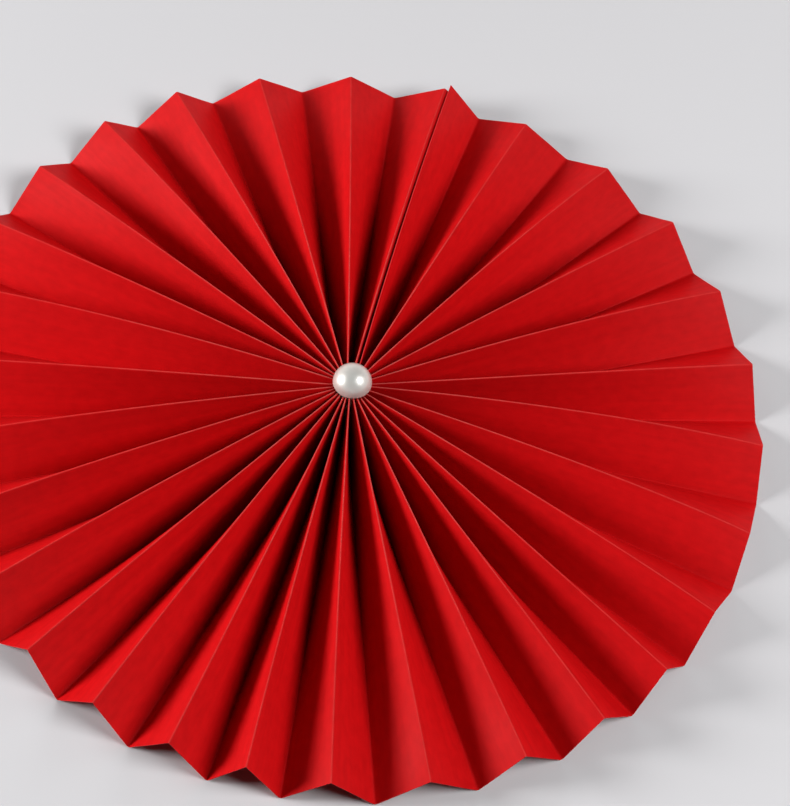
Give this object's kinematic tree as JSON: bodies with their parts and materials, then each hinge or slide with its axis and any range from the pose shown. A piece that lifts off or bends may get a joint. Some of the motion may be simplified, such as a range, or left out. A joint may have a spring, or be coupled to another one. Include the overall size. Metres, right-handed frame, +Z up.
{
  "type": "paper fan rosette",
  "caption": "Round rosette of pleated red card, opened flat from one folded strip, with a half-round pearl bead glued over its centre.",
  "frame": {"origin": "middle of the rosette's back, in the plane of the back folds on which it lies", "axes": "+Z points up out of the front, through the bead; the lapped seam points about 85 degrees round from +X towards +Y"},
  "size_m": [0.3019, 0.303, 0.0288],
  "materials": {
    "red_card": "matt dyed card",
    "clear_glue": "set hot glue",
    "pearl": "pearl lacquer"
  },
  "bodies": {
    "root": {"pleated_paper": "red_card", "seam_glue": "clear_glue", "centre_glue": "clear_glue", "half_pearl": "pearl"}
  },
  "joints": []
}
